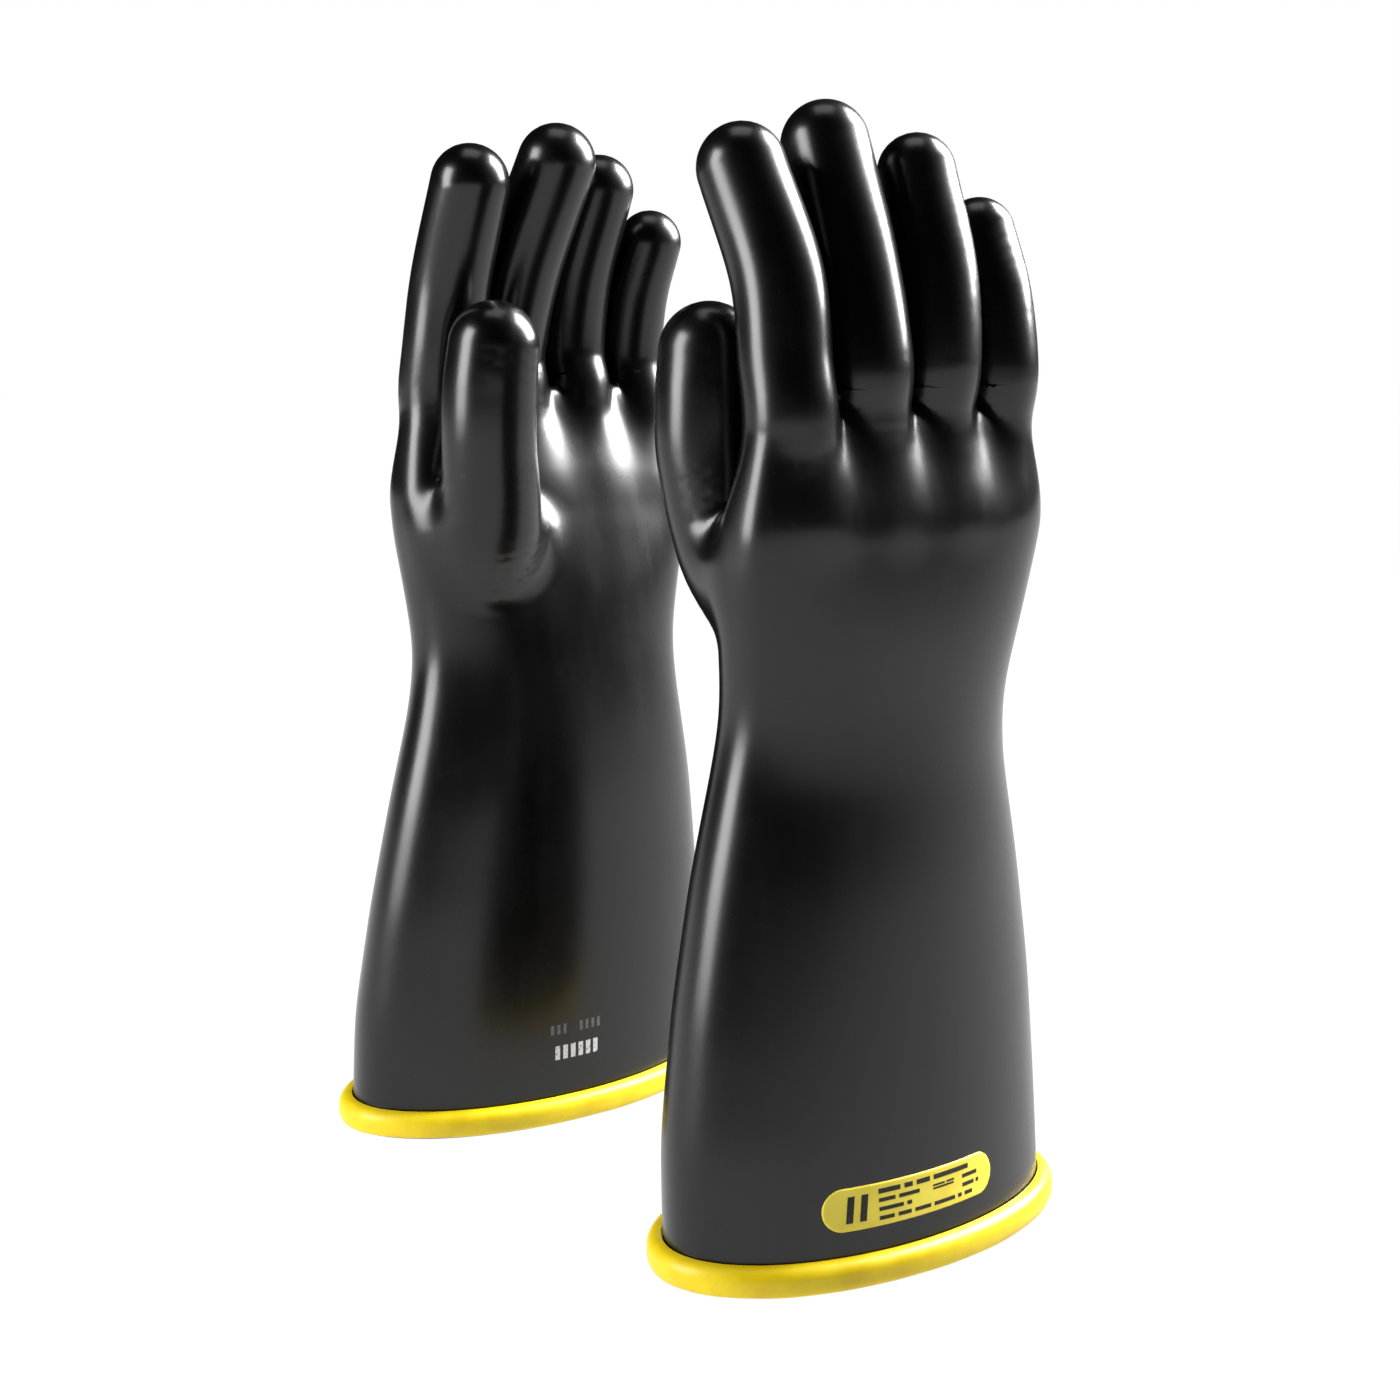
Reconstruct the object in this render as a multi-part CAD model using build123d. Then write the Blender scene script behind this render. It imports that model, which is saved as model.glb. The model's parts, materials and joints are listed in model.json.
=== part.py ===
from build123d import *
import math
import os
from collections import namedtuple

# A pair of electrical insulating gloves, standing on their rolled cuffs, palms facing each other.
# Millimetres. +Z runs from the cuffs up to the fingertips. X runs across each glove, from the
# thumb side (-X) to the little finger (+X). The origin is on the floor, midway between the gloves.

# ---- Driving dimensions ----
GLOVE_SPACING = 180.0       # between the middles of the two cuffs, along Y
WALL = 2.3                  # thickness of the dipped rubber
SECTION_POINTS = 24         # points on each closed section curve

BEAD_HEIGHT = 9.4           # rolled cuff bead, from the floor up
BEAD_BULGE = 4.6            # how far the bare bead stands out from the cuff wall
BEAD_FLAT = 0.2             # how much of the bulge is left at the bead's top and bottom edges
BEAD_STEPS = 6              # bands in the bead's rounded rim
COAT_THICKNESS = 0.5        # coloured coat over the bead
COAT_BARE_EDGE = 1.2        # bare rubber left below the coat

LABEL_WIDTH = 67.4
LABEL_HEIGHT = 13.4
LABEL_THICKNESS = 0.6
LABEL_CENTRE_X = -11.0
LABEL_CENTRE_Z = 24.2

WRIST_Z = 172.0             # narrowest section, where the hand bends
WRIST_BEND_HALF = 9.0       # half height of the band of rubber that bends
PALM_TOP_Z = 266.0          # where the four fingers part

# Outer sections of cuff, wrist and palm. y is measured from the cuff's middle towards the palm.
# power 2 is an ellipse, and a higher power is squarer.
Section = namedtuple("Section", "z x y half_x half_y power")
BODY_SECTIONS = [
    Section(0.0, 0.0, 0.0, 74.6, 40.6, 2.0),
    Section(40.0, 0.0, 2.2, 74.2, 39.3, 2.0),
    Section(80.0, 2.4, 4.5, 70.6, 37.2, 2.0),
    Section(120.0, 4.2, 6.1, 64.0, 34.4, 2.0),
    Section(150.0, 5.3, 6.7, 57.6, 31.0, 2.1),
    Section(172.0, 6.3, 5.5, 54.3, 28.5, 2.2),
    Section(195.0, 7.5, 3.5, 57.6, 27.0, 2.3),
    Section(220.0, 8.8, 1.3, 62.8, 23.0, 2.5),
    Section(245.0, 10.4, -1.5, 62.0, 18.2, 2.8),
    Section(PALM_TOP_Z, 9.8, -2.6, 58.8, 16.2, 2.8),
]

# Each digit is a tapered tube on three straight runs: root to base bend, to middle bend, to the
# centre of the round tip. Each point is (x, y, z), with the outer radius there.
Digit = namedtuple("Digit", "root base middle tip root_r base_r middle_r tip_r base_half middle_half")
DIGITS = {
    "index": Digit((-34.4, -1, 250), (-33.8, 0, 278), (-32.9, 5.1, 304), (-34.3, 19.4, 335.4),
                   14.6, 14.1, 14.1, 13.7, 8.0, 7.5),
    "middle": Digit((-4.5, -3, 250), (-4.3, -3.3, 279), (-2.4, 5.4, 309), (1.5, 21.2, 343.4),
                    14.8, 14.5, 14.4, 13.9, 9.8, 9.4),
    "ring": Digit((26, -4, 250), (24.8, -5, 278), (26.8, -1.6, 305), (29.6, 9.4, 335.4),
                  14.8, 14.2, 13.6, 12.5, 9.2, 8.2),
    "little": Digit((56.5, -3, 245), (53, -4.6, 274.8), (53.8, -1, 297.6), (55.4, 6.6, 317),
                    14.0, 13.3, 12.6, 11.7, 8.6, 7.2),
    "thumb": Digit((-31, 24.5, 214), (-36.3, 31.2, 247), (-36.4, 32.4, 266), (-35.2, 33.2, 280.4),
                   17.2, 16.4, 16.2, 15.8, 5.8, 5.4),
}
THUMB_HEEL = (-25, 8, 184)  # where the thumb's bulge leaves the wrist
THUMB_HEEL_R = 13.0

BORE_REACH = 1.5            # how far a digit's bore runs on past its root, through the palm's roof

FROM_BASE = (Align.CENTER, Align.CENTER, Align.MIN)


# ---- Helpers ----
def body_face(section, grow=0.0):
    """Closed face of one body section, grown outward by grow."""
    points = []
    for step in range(SECTION_POINTS):
        angle = 2 * math.pi * step / SECTION_POINTS
        c, s = math.cos(angle), math.sin(angle)
        reach = 2 / section.power
        x = section.x + (section.half_x + grow) * math.copysign(abs(c) ** reach, c)
        y = section.y + (section.half_y + grow) * math.copysign(abs(s) ** reach, s)
        points.append(Vector(x, y, section.z))
    return Face(Wire([Edge.make_spline(points, periodic=True)]))


def body_section(z):
    """The body section at any height, between the two listed ones."""
    for low, high in zip(BODY_SECTIONS, BODY_SECTIONS[1:]):
        if low.z <= z <= high.z:
            t = (z - low.z) / (high.z - low.z)
            return Section(*[a + (b - a) * t for a, b in zip(low, high)])
    raise ValueError(f"no body section at {z}")


def slab(low, high):
    """A slice of space between two heights, wider than a glove."""
    width = 4 * GLOVE_SPACING
    return Pos(0, 0, (low + high) / 2) * Box(width, width, high - low)


def body_solid(grow=0.0, top=PALM_TOP_Z):
    """Cuff, wrist and palm as one solid, grown outward by grow, up to top."""
    sections = [s for s in BODY_SECTIONS if s.z < top - 1] + [body_section(top)]
    return loft([body_face(s, grow) for s in sections], ruled=True)


def disc(centre, direction, radius):
    return Plane(origin=centre, z_dir=direction) * Circle(radius)


def along(start, end, distance):
    """The point at distance from start towards end."""
    start, end = Vector(start), Vector(end)
    return start + (end - start).normalized() * distance


def cone(start, end, start_r, end_r):
    direction = Vector(end) - Vector(start)
    return loft([disc(start, direction, start_r).face(), disc(end, direction, end_r).face()])


class DigitPieces:
    """The pieces of one digit, worked out from its three runs."""

    def __init__(self, digit):
        self.d = digit
        self.root_run = Vector(digit.base) - Vector(digit.root)
        self.lower_run = Vector(digit.middle) - Vector(digit.base)
        self.tip_run = Vector(digit.tip) - Vector(digit.middle)

    def stub(self, grow=0.0, reach=0.0):
        """The root, which is part of the palm, up to the base bend and reach beyond it."""
        d = self.d
        end = along(d.base, d.root, d.base_half - reach)
        return cone(Vector(d.root), end, d.root_r + grow, d.base_r + grow)

    def bend(self, point, before, after, radius, half):
        """The ring of rubber that bends, between the two rigid runs."""
        before, after = before.normalized(), after.normalized()
        low, high = Vector(point) - before * half, Vector(point) + after * half
        middle = (before + after).normalized()
        rings = []
        for r in (radius, radius - WALL):
            discs = [disc(low, before, r), disc(Vector(point), middle, r), disc(high, after, r)]
            rings.append(loft([item.face() for item in discs], ruled=True))
        return rings[0] - rings[1]

    def base_bend(self):
        d = self.d
        return self.bend(d.base, self.root_run, self.lower_run, d.base_r, d.base_half)

    def middle_bend(self):
        d = self.d
        return self.bend(d.middle, self.lower_run, self.tip_run, d.middle_r, d.middle_half)

    def lower(self):
        """The rigid tube between the two bends."""
        d = self.d
        start = along(d.base, d.middle, d.base_half)
        end = along(d.middle, d.base, d.middle_half)
        return cone(start, end, d.base_r, d.middle_r) - cone(
            start, end, d.base_r - WALL, d.middle_r - WALL
        )

    def tip(self):
        """The closed end of the digit."""
        d = self.d
        start = along(d.middle, d.tip, d.middle_half)
        shapes = []
        for grow in (0.0, -WALL):
            tube = cone(start, Vector(d.tip), d.middle_r + grow, d.tip_r + grow)
            at_tip = Plane(origin=d.tip, z_dir=self.tip_run)
            dome = at_tip * Sphere(d.tip_r + grow, arc_size1=0, align=FROM_BASE)
            shapes.append(tube + dome)
        return shapes[0] - shapes[1]


# ---- Pieces of one glove, standing at the origin with its palm towards +Y ----
def cuff(shell):
    return shell & slab(0, WRIST_Z - WRIST_BEND_HALF)


def wrist_bend(shell):
    return shell & slab(WRIST_Z - WRIST_BEND_HALF, WRIST_Z + WRIST_BEND_HALF)


def thumb_heel(grow):
    """The bulge at the thumb's root, from the wrist up to the thumb's own tube."""
    d = DIGITS["thumb"]
    up = Vector(d.base) - Vector(d.root)
    faces = [
        disc(THUMB_HEEL, up, THUMB_HEEL_R + grow).face(),
        disc(d.root, up, d.root_r + grow).face(),
    ]
    return loft(faces)


def palm():
    """The hand up to the roots of the digits, hollow all through."""
    start = WRIST_Z + WRIST_BEND_HALF
    outside = body_solid() & slab(start, PALM_TOP_Z)
    inside = body_solid(-WALL, PALM_TOP_Z - WALL) & slab(start - 1, PALM_TOP_Z)
    for digit in DIGITS.values():
        pieces = DigitPieces(digit)
        outside += pieces.stub()
        inside += pieces.stub(-WALL, reach=BORE_REACH)
    outside += thumb_heel(0.0) & slab(start, PALM_TOP_Z)
    inside += thumb_heel(-WALL) & slab(start, PALM_TOP_Z)
    return outside - inside


def bead_solid(grow):
    """The rolled bead as a solid disc with a rounded rim."""
    sections = []
    base = body_section(0)
    for step in range(BEAD_STEPS + 1):
        t = step / BEAD_STEPS
        swell = BEAD_BULGE * math.sqrt(1 - (1 - BEAD_FLAT) * (2 * t - 1) ** 4)
        sections.append(
            base._replace(z=BEAD_HEIGHT * t, half_x=base.half_x + swell, half_y=base.half_y + swell)
        )
    return loft([body_face(s, grow) for s in sections], ruled=True)


def bead_core():
    return bead_solid(0.0) - body_solid()


def bead_coat():
    coated = bead_solid(COAT_THICKNESS) & slab(COAT_BARE_EDGE, BEAD_HEIGHT)
    return coated - bead_solid(0.0) - body_solid(0.0)


def label():
    """The label bonded to the back of the cuff."""
    outline = Plane.XZ * SlotOverall(LABEL_WIDTH, LABEL_HEIGHT)
    backwards = extrude(outline, amount=GLOVE_SPACING, dir=(0, -1, 0))
    stamp = Pos(LABEL_CENTRE_X, 0, LABEL_CENTRE_Z) * backwards
    return (body_solid(LABEL_THICKNESS) - body_solid()) & stamp


def glove_pieces():
    solid_body = body_solid()
    shell = solid_body - body_solid(-WALL)
    pieces = {
        "cuff": cuff(shell),
        "wrist_bend": wrist_bend(shell),
        "palm": palm(),
        "bead_core": bead_core(),
        "bead_coat": bead_coat(),
        "label": label(),
    }
    for name, digit in DIGITS.items():
        made = DigitPieces(digit)
        pieces[f"{name}_base_bend"] = made.base_bend() - solid_body
        pieces[f"{name}_lower"] = made.lower()
        pieces[f"{name}_middle_bend"] = made.middle_bend()
        pieces[f"{name}_tip"] = made.tip()
    return pieces


def main():
    os.makedirs("parts", exist_ok=True)
    for name, piece in glove_pieces().items():
        right = Pos(0, -GLOVE_SPACING / 2, 0) * piece
        left = mirror(right, about=Plane.XZ)
        export_step(right, f"parts/right_{name}.step")
        export_step(left, f"parts/left_{name}.step")


main()
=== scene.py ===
import json
import math

import bmesh
import bpy
import numpy as np
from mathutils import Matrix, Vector


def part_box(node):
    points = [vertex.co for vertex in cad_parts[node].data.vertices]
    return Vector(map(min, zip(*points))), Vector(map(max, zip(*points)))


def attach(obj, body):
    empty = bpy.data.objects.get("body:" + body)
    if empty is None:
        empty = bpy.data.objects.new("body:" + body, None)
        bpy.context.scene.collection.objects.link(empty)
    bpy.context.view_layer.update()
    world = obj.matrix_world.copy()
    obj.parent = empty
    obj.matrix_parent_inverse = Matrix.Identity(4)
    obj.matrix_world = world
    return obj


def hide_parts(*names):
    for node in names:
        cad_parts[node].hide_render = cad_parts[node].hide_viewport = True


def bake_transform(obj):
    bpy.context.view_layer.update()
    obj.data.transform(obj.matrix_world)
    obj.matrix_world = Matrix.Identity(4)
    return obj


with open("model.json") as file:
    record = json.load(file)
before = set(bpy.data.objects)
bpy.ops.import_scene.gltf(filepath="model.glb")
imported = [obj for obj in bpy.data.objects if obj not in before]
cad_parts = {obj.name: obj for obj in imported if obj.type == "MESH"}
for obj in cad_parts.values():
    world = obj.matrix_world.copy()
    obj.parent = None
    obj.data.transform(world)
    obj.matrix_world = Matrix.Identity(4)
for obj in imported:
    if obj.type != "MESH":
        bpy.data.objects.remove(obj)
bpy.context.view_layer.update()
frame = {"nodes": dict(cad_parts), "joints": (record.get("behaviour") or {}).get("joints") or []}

# A pair of dipped rubber gloves, standing on their cuffs. The rubber is one smooth skin in each
# glove, worked out as a distance field whose sections and digits are read from the CAD frame.
# Lengths in the shape code are in millimetres, and to_metres() turns them into the frame's metres.
# The right glove is made with its palm towards +y. The left one is its mirror image.

# ---- Driving values: shape, mm ----
GRID = 2.0                # spacing of the grid that the skin is drawn from
WALL = 2.3                # rubber thickness
WEB_DROP = 12.0           # from a finger's base joint down to the web beside it
RIDGE_DEPTH = 6.0         # how deep the grooves between the fingers' roots are at the web
RIDGE_LENGTH = 42.0       # how far below the web the grooves begin
RIDGE_SIDE = 0.75         # how much of that depth the hand's edges draw in
FINGER_BLEND = 16.0       # how softly a finger's root joins the hand
FINGER_BLEND_LENGTH = 40.0  # below the web, the run over which that softness grows
FREE_BLEND = 1.5          # and how softly digits meet above their web
THUMB_BLEND = 26.0
THUMB_BLEND_LENGTH = 26.0   # the same run below the thumb's web
THUMB_HEEL_START = 3.0    # the thumb's swelling joins the hand from this far above the wrist
THUMB_HEEL_LENGTH = 42.0  # and reaches its full softness over this length
THUMB_WEB_DROP = 8.0      # from the thumb's base joint down to its web
THUMB_GAP = 2.6           # clear space between the thumb and the palm above the web
THUMB_HOLLOW = 9.0        # how softly the palm is hollowed beside the thumb
THUMB_HOLLOW_START = 10.0 # the hollow begins this far below the thumb's web
TOP_ROUNDING = 12.0       # rounding of the hand's top edge between the fingers
CUFF_POWER = 2.0          # an ellipse
KNUCKLE_POWER = 2.8       # a squarer section
SQUARING_START = 25.0     # sections begin to square off this far below the wrist
SQUARING_LENGTH = 90.0
# A root row is (x, y, z, radius) from a digit's base joint, buried in the hand.
THUMB_ROOTS = ((12.0, -22.0, -55.0, -3.4), (5.3, -6.7, -29.0, 0.8))
# And a finger's is (drop, extra radius, share of the way to the hand's middle).
FINGER_ROOTS = ((44.0, 1.0, 0.06), (28.0, 0.6, 0.02), (14.0, 0.2, 0.0))
FINGERS = ("index", "middle", "ring", "little")
DIGITS = FINGERS + ("thumb",)

MM = 0.001


def to_metres(points):
    return np.asarray(points, float) * MM


# ---- Reading the frame ----
def node_arrays(name):
    """Vertices in mm, and vertex pairs of the edges, of a CAD node."""
    mesh = frame["nodes"][name].data
    points = np.empty(len(mesh.vertices) * 3)
    mesh.vertices.foreach_get("co", points)
    edges = np.empty(len(mesh.edges) * 2, int)
    mesh.edges.foreach_get("vertices", edges)
    return points.reshape(-1, 3) / MM, edges.reshape(-1, 2)


def slice_node(name, z):
    """Points where a CAD node's edges cross the height z."""
    points, edges = node_arrays(name)
    a, b = points[edges[:, 0]], points[edges[:, 1]]
    crossing = (a[:, 2] - z) * (b[:, 2] - z) < 0
    a, b = a[crossing], b[crossing]
    t = (z - a[:, 2]) / (b[:, 2] - a[:, 2])
    return (a + (b - a) * t[:, None])[:, :2]


def box_mm(node):
    low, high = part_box(node)
    return np.array(low) / MM, np.array(high) / MM


def joint_place(name):
    found = [j for j in frame["joints"] if j["name"] == name][0]
    return np.array(found["pos_m"]) / MM


FOOT_Z = 0.5              # height of the slice that the cuff's middle is taken from
CUFF_TOP = box_mm("right_cuff")[1][2]
FOOT_Y = slice_node("right_cuff", FOOT_Z)[:, 1]
GLOVE_Y = (FOOT_Y.min() + FOOT_Y.max()) / 2
WRIST = joint_place("right_wrist_bend")
WEB_Z = joint_place("right_index_base_bend")[2] - WEB_DROP


def body_rows():
    """Rows of (z, middle x, middle y, half width, half thickness), from slices of the CAD."""
    rows = []
    palm_base = box_mm("right_palm")[0][2]
    for z in np.arange(1.0, WEB_Z, 8.0):
        if z < CUFF_TOP:
            node = "right_cuff"
        elif z < palm_base:
            node = "right_wrist_bend"
        else:
            node = "right_palm"
        outline = slice_node(node, z)
        low, high = outline.min(0), outline.max(0)
        middle = (low[0] + high[0]) / 2
        half = (high[0] - low[0]) / 2
        column = outline[np.abs(outline[:, 0] - middle) < 0.12 * half]
        back, front = column[:, 1].min() - GLOVE_Y, column[:, 1].max() - GLOVE_Y
        rows.append((z, middle, (back + front) / 2, half, (front - back) / 2))
    return np.array(rows)


def smooth_table(rows, reach=7.0):
    """The rows resampled every mm and rounded off, so that the sections change smoothly."""
    z = np.arange(-10.0, WEB_Z + 40.0, 1.0)
    columns = [np.interp(z, rows[:, 0], rows[:, k]) for k in range(1, 5)]
    offsets = np.arange(-3 * reach, 3 * reach + 1)
    weights = np.exp(-0.5 * (offsets / reach) ** 2)
    weights /= weights.sum()
    pad = len(offsets) // 2
    out = []
    for column in columns:
        ends = np.pad(column, pad, mode="reflect", reflect_type="odd")
        out.append(np.convolve(ends, weights, mode="valid"))
    return z, out


TABLE_Z, TABLE = smooth_table(body_rows())


# ---- The glove's shape as a field: below zero inside the rubber's outer face ----
def smoothstep(x):
    x = np.clip(x, 0.0, 1.0)
    return x * x * (3 - 2 * x)


def soft_min(a, b, k):
    """The lower of a and b, rounded off where they are within k of each other."""
    h = np.maximum(k - np.abs(a - b), 0.0) / k
    return np.minimum(a, b) - h ** 3 * k / 6


def soft_max(a, b, k):
    return -soft_min(-a, -b, k)


def body_sections(z):
    """Middle x, middle y, half width and half thickness at heights z, grooves included."""
    mx, my, hx, hy = (np.interp(z, TABLE_Z, column) for column in TABLE)
    groove = RIDGE_DEPTH * smoothstep((z - (WEB_Z - RIDGE_LENGTH)) / RIDGE_LENGTH)
    return mx, my, hx - RIDGE_SIDE * groove, hy - groove


def body_field(p):
    """Distance, near the surface, to the cuff, wrist and hand without digits."""
    x, y, z = p[:, 0], p[:, 1], p[:, 2]
    mx, my, hx, hy = body_sections(z)
    power = CUFF_POWER + (KNUCKLE_POWER - CUFF_POWER) * smoothstep(
        (z - WRIST[2] + SQUARING_START) / SQUARING_LENGTH
    )
    u, v = np.abs(x - mx) / hx + 1e-6, np.abs(y - my) / hy + 1e-6
    rho = (u ** power + v ** power) ** (1 / power)
    slope = np.hypot((u / rho) ** (power - 1) / hx, (v / rho) ** (power - 1) / hy)
    side = (rho - 1) / slope
    return soft_max(side, z - WEB_Z, TOP_ROUNDING)


def digit_points(digit):
    """Rows of (x, y, z, radius) down the middle of a digit, read from the frame, root first."""
    shift = np.array([0.0, GLOVE_Y, 0.0])
    base = joint_place(f"right_{digit}_base_bend") - shift
    middle = joint_place(f"right_{digit}_middle_bend") - shift
    low, high = box_mm(f"right_{digit}_lower")
    base_r = (high[0] - low[0]) / 2
    top = box_mm(f"right_{digit}_tip")[1][2]
    drop = 5.0
    cut = slice_node(f"right_{digit}_tip", top - drop)
    centre = (cut.min(0) + cut.max(0)) / 2
    half = (cut[:, 0].max() - cut[:, 0].min()) / 2
    tip_r = (half ** 2 + drop ** 2) / (2 * drop)
    tip = np.array([centre[0], centre[1] - GLOVE_Y, top - tip_r])
    middle_r = (base_r + tip_r) / 2 + 0.2
    rows = [(*base, base_r), (*middle, middle_r), (*tip, tip_r)]
    return digit_root(digit, base, base_r) + rows


def digit_root(digit, base, base_r):
    """The part of a digit's line that is buried in the hand."""
    if digit == "thumb":
        return [(base[0] + x, base[1] + y, base[2] + z, base_r + r) for x, y, z, r in THUMB_ROOTS]
    rows = []
    for drop, swell, gather in FINGER_ROOTS:
        z = base[2] - drop
        mx, my, _, _ = body_sections(z)
        rows.append((base[0] + (mx - base[0]) * gather, my, z, base_r + swell))
    return rows


def smooth_line(rows, steps=10):
    """A Catmull-Rom curve through the rows."""
    rows = np.array(rows, float)
    padded = np.vstack([2 * rows[0] - rows[1], rows, 2 * rows[-1] - rows[-2]])
    out = []
    for a, b, c, d in zip(padded, padded[1:], padded[2:], padded[3:]):
        for t in np.arange(steps) / steps:
            out.append(0.5 * (2 * b + (c - a) * t + (2 * a - 5 * b + 4 * c - d) * t * t
                              + (3 * b - a - 3 * c + d) * t ** 3))
    out.append(rows[-1])
    return np.array(out)


LINES = {digit: smooth_line(digit_points(digit)) for digit in DIGITS}
THUMB_WEB_Z = joint_place("right_thumb_base_bend")[2] - THUMB_WEB_DROP


def line_distance(p, line):
    """Distance to a tapered tube with round ends."""
    best = np.full(len(p), 1e3)
    for a, b in zip(line, line[1:]):
        axis = b[:3] - a[:3]
        t = np.clip(((p - a[:3]) @ axis) / (axis @ axis), 0, 1)
        gap = np.linalg.norm(p - a[:3] - t[:, None] * axis, axis=1)
        best = np.minimum(best, gap - (a[3] + (b[3] - a[3]) * t))
    return best


def digit_field(p, digit, margin=22.0):
    """line_distance, worked out only near the digit."""
    line = LINES[digit]
    reach = line[:, 3:].max() + margin
    low, high = line[:, :3].min(0) - reach, line[:, :3].max(0) + reach
    near = np.all((p > low) & (p < high), axis=1)
    out = np.full(len(p), 1e3)
    out[near] = line_distance(p[near], line)
    return out


def glove_field(p):
    hand = body_field(p)
    z = p[:, 2]
    finger_k = FREE_BLEND + (FINGER_BLEND - FREE_BLEND) * smoothstep(
        (WEB_Z + 2.0 - z) / FINGER_BLEND_LENGTH
    )
    for finger in FINGERS:
        hand = soft_min(hand, digit_field(p, finger), finger_k)
    thumb = digit_field(p, "thumb")
    above_web = smoothstep((z - THUMB_WEB_Z + THUMB_HOLLOW_START) / THUMB_HOLLOW_START)
    carved = soft_max(hand, THUMB_GAP - thumb, THUMB_HOLLOW)
    hand = hand + (carved - hand) * above_web
    thumb_k = FREE_BLEND + (THUMB_BLEND - FREE_BLEND) * (
        smoothstep((THUMB_WEB_Z + 3.0 - z) / THUMB_BLEND_LENGTH)
        * smoothstep((z - WRIST[2] - THUMB_HEEL_START) / THUMB_HEEL_LENGTH)
    )
    return soft_min(hand, thumb, thumb_k)


def gradient(p, step=0.05):
    out = np.empty_like(p)
    for axis in range(3):
        shift = np.zeros(3)
        shift[axis] = step
        out[:, axis] = (glove_field(p + shift) - glove_field(p - shift)) / (2 * step)
    return out


def unit(v):
    return v / np.maximum(np.linalg.norm(v, axis=-1, keepdims=True), 1e-9)


# ---- Skin meshes: surface nets on a grid, then pulled onto the field ----
def grid_field():
    low = np.array([-86.0, -50.0, 0.0])
    high = np.array([90.0, 62.0, box_mm("right_middle_tip")[1][2] + 6.0])
    counts = np.ceil((high - low) / GRID).astype(int) + 1
    axes = [low[k] + GRID * np.arange(counts[k]) for k in range(3)]
    mesh = np.stack(np.meshgrid(*axes, indexing="ij"), -1)
    return low, glove_field(mesh.reshape(-1, 3)).reshape(mesh.shape[:3])


def surface_net(values, low):
    """Vertices and quads of the zero level of values, open where it leaves the grid."""
    cells = tuple(n - 1 for n in values.shape)
    total, count = np.zeros(cells + (3,)), np.zeros(cells, int)
    crossings = []
    for axis in range(3):
        first = [slice(None)] * 3
        second = [slice(None)] * 3
        first[axis], second[axis] = slice(None, -1), slice(1, None)
        a, b = values[tuple(first)], values[tuple(second)]
        where = np.argwhere((a < 0) != (b < 0))
        fa, fb = a[tuple(where.T)], b[tuple(where.T)]
        point = where.astype(float)
        point[:, axis] += fa / (fa - fb)
        crossings.append((where, fa < 0))
        others = [k for k in range(3) if k != axis]
        for da in (0, 1):
            for db in (0, 1):
                cell = where.copy()
                cell[:, others[0]] -= da
                cell[:, others[1]] -= db
                ok = np.all((cell >= 0) & (cell < np.array(cells)), axis=1)
                index = tuple(cell[ok].T)
                np.add.at(total, index, point[ok])
                np.add.at(count, index, 1)
    used = count > 0
    number = np.full(cells, -1)
    number[used] = np.arange(used.sum())
    points = low + GRID * total[used] / count[used][:, None]
    quads = []
    for axis, (where, starts_inside) in enumerate(crossings):
        b_axis, c_axis = (axis + 1) % 3, (axis + 2) % 3
        corners = []
        for db, dc in ((0, 0), (1, 0), (1, 1), (0, 1)):
            cell = where.copy()
            cell[:, b_axis] -= db
            cell[:, c_axis] -= dc
            corners.append(cell)
        ok = np.all([np.all((c >= 0) & (c < np.array(cells)), axis=1) for c in corners], axis=0)
        ids = np.stack([number[tuple(c[ok].T)] for c in corners], 1)
        ids[~starts_inside[ok]] = ids[~starts_inside[ok]][:, ::-1]
        quads.append(ids)
    return points, np.vstack(quads)


def settle(points, quads, level, rounds=4):
    """Evens the mesh out and pulls it onto the field's level. The open edge stays at its height."""
    edges = np.vstack([quads[:, [k, (k + 1) % 4]] for k in range(4)])
    edges.sort(axis=1)
    edges, uses = np.unique(edges, axis=0, return_counts=True)
    rim = np.zeros(len(points), bool)
    rim[edges[uses == 1].ravel()] = True
    points[rim, 2] = 0.0
    for _ in range(rounds):
        total, count = np.zeros_like(points), np.zeros(len(points))
        for a, b in ((0, 1), (1, 0)):
            np.add.at(total, edges[:, a], points[edges[:, b]])
            np.add.at(count, edges[:, a], 1)
        mean = total / count[:, None]
        points = np.where(rim[:, None], points, 0.5 * points + 0.5 * mean)
        slope = gradient(points)
        slope[rim, 2] = 0.0
        steepness = np.maximum((slope ** 2).sum(1), 0.1)
        for _ in range(2):
            off = np.clip(glove_field(points) - level, -0.5 * GRID, 0.5 * GRID)
            points = points - slope * (off / steepness)[:, None]
    return points


def make_skin(grid, level):
    low, values = grid
    points, quads = surface_net(values - level, low)
    return settle(points, quads, level), quads


# ---- Cutting the skin into pieces ----
# Each digit has two seams, one above the web and one halfway along its lower rigid run.
BASE_REACH = 10.0         # a finger's first seam is this far below its base joint
WEB_CLEARANCE = 4.0       # and at least this far above the web
THUMB_REACH = 4.0         # the thumb's first seam is this far below its base joint
BASE_BEND_REACH = 11.2    # the bend at a base joint ends this far beyond it
MIDDLE_BEND_REACH = 12.0  # and the bend at a middle joint this far
WRIST_REACH = 30.0        # the wrist's bend, each way from its joint


def digit_joints(digit):
    shift = np.array([0.0, GLOVE_Y, 0.0])
    base = joint_place(f"right_{digit}_base_bend") - shift
    middle = joint_place(f"right_{digit}_middle_bend") - shift
    return base, middle


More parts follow.
